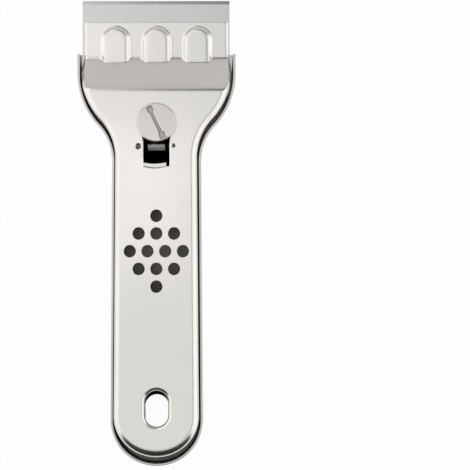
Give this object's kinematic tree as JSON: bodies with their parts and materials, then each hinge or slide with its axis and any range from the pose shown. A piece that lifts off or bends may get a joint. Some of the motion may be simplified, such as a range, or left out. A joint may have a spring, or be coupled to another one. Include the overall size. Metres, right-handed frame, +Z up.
{
  "type": "ceramic hob scraper",
  "caption": "Flat steel hob scraper: two nested shells clamp a wide blade, and a cover slides forward as its guard once the clamp screw is slackened.",
  "frame": {"origin": "under the middle of the outline, on the surface that the tray lies on", "axes": "+Y along the handle towards the blade's edge, +Z up through the cover's face, +X to the right when the face is seen with the blade at the top"},
  "size_m": [0.0464, 0.1364, 0.0131],
  "materials": {
    "tray_steel": "satin stainless steel, pressed",
    "cover_steel": "fine satin stainless steel, pressed",
    "blade_steel": "smooth rolled blade steel with a ground edge",
    "bridge_steel": "plain rolled steel strip",
    "nut_steel": "zinc plated",
    "screw_steel": "turned, lightly polished stainless steel"
  },
  "bodies": {
    "tray": {"lower_shell": "tray_steel", "blade": "blade_steel", "nut_bridge": "bridge_steel", "square_nut": "nut_steel"},
    "cover": {"upper_shell": "cover_steel"},
    "washer": {"washer": "screw_steel"},
    "screw": {"clamp_screw": "screw_steel"}
  },
  "joints": [
    {"name": "cover_slide", "type": "slide", "parent": "tray", "child": "cover", "axis": [0, 1, 0], "range_m": [0, 0.0076]},
    {"name": "screw_lift", "type": "slide", "parent": "tray", "child": "washer", "axis": [0, 0, 1], "range_m": [0, 0.0016]},
    {"name": "screw_turn", "type": "hinge", "parent": "washer", "child": "screw", "pos_m": [0, 0.0321, 0.012], "axis": [0, 0, 1], "range_deg": [0, 720]}
  ],
  "couplings": [
    {"joint": "screw_turn", "follows": "screw_lift", "rad_per_m": 7854}
  ]
}
